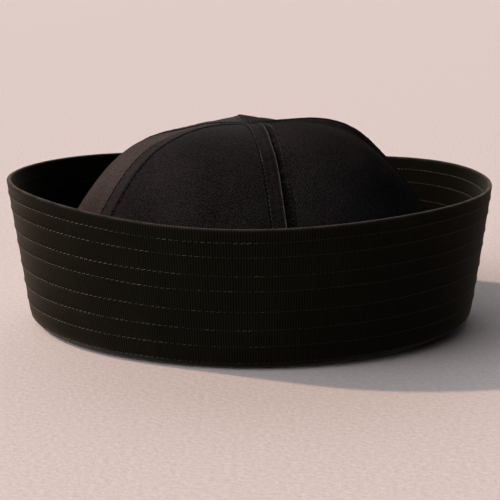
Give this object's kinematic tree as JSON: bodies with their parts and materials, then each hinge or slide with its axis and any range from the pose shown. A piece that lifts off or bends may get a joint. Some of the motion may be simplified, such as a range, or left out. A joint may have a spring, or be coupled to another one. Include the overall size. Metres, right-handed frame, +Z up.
{
  "type": "sailor cap with a turned-up brim",
  "caption": "Domed cloth sailor cap of gores joined by raised seams, standing on the fold of its tall turned-up brim.",
  "frame": {"origin": "on the surface the cap rests on, below the middle of the rim", "axes": "+Z up, -Y towards the front of the cap, +X to the right of someone who looks at its front"},
  "size_m": [0.2159, 0.2275, 0.0889],
  "materials": {
    "crown_cloth": "matt fine cotton twill, washed black",
    "seam_cloth": "matt fine cotton twill with stitched edges, washed black",
    "brim_cloth": "matt finely ribbed cotton with rows of brown-grey stitching, black"
  },
  "bodies": {
    "root": {"crown_gore_1": "crown_cloth", "crown_gore_2": "crown_cloth", "crown_gore_3": "crown_cloth", "crown_gore_4": "crown_cloth", "crown_gore_5": "crown_cloth", "crown_gore_6": "crown_cloth", "crown_seam_centre": "seam_cloth", "crown_seam_front_right": "seam_cloth", "crown_seam_back_right": "seam_cloth", "crown_seam_back_left": "seam_cloth", "crown_seam_front_left": "seam_cloth", "brim": "brim_cloth"}
  },
  "joints": []
}
